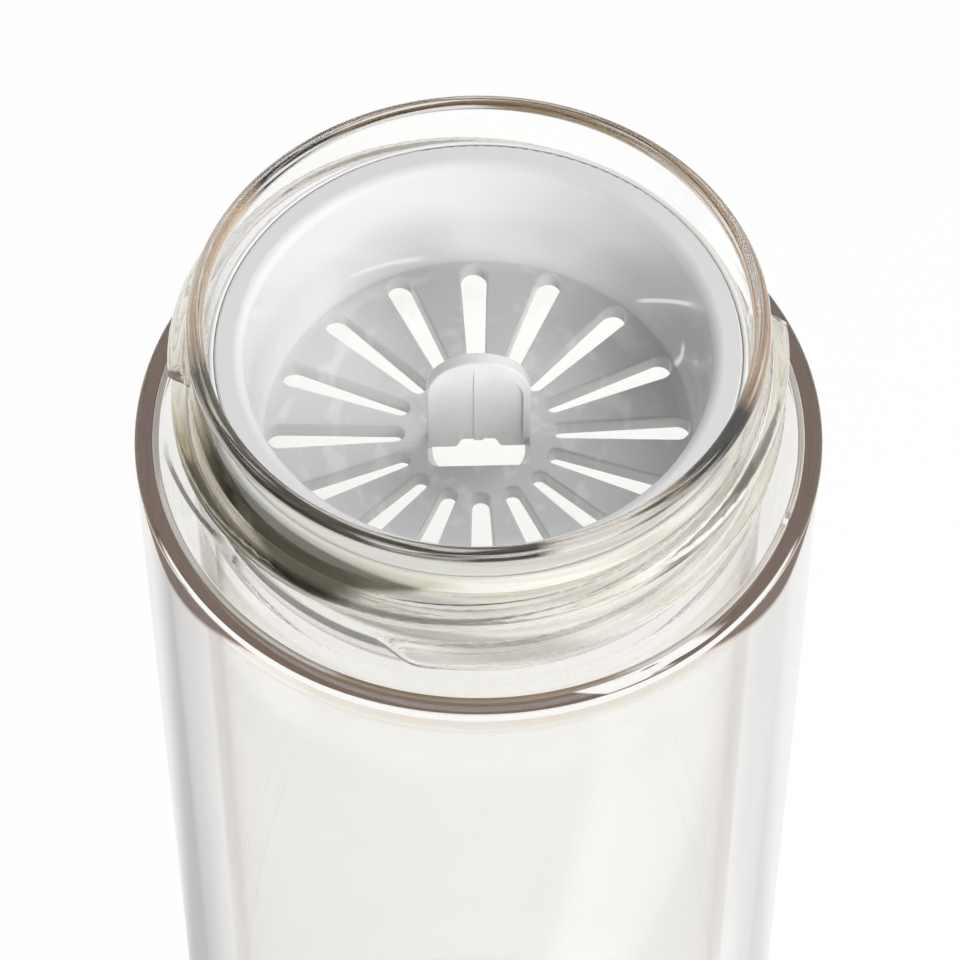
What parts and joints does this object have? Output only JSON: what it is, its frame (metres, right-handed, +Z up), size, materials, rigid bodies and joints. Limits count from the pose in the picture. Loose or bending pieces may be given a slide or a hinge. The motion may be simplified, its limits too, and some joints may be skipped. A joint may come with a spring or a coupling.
{
  "type": "fruit infuser water bottle",
  "caption": "Clear double-walled water bottle with a threaded neck and a slotted strainer cup that lifts out by a pull tab.",
  "frame": {"origin": "middle of the foot, on the surface that the bottle stands on", "axes": "+Z up the bottle's axis towards the mouth; -Y is the side that the pull tab's face looks to"},
  "size_m": [0.074, 0.074, 0.2046],
  "materials": {
    "shell_clear": "clear gloss",
    "inner_clear": "clear gloss",
    "seam": "clear beige gloss",
    "strainer_white": "opaque white gloss",
    "seal_silicone": "satin white silicone"
  },
  "bodies": {
    "bottle": {"outer_shell": "shell_clear", "inner_bottle": "inner_clear", "seam_ring": "seam"},
    "strainer_cup": {"strainer": "strainer_white", "strainer_seal": "seal_silicone"}
  },
  "joints": [
    {"name": "strainer_lift", "type": "slide", "parent": "bottle", "child": "strainer_cup", "axis": [0, 0, 1], "range_m": [0, 0.09]}
  ]
}
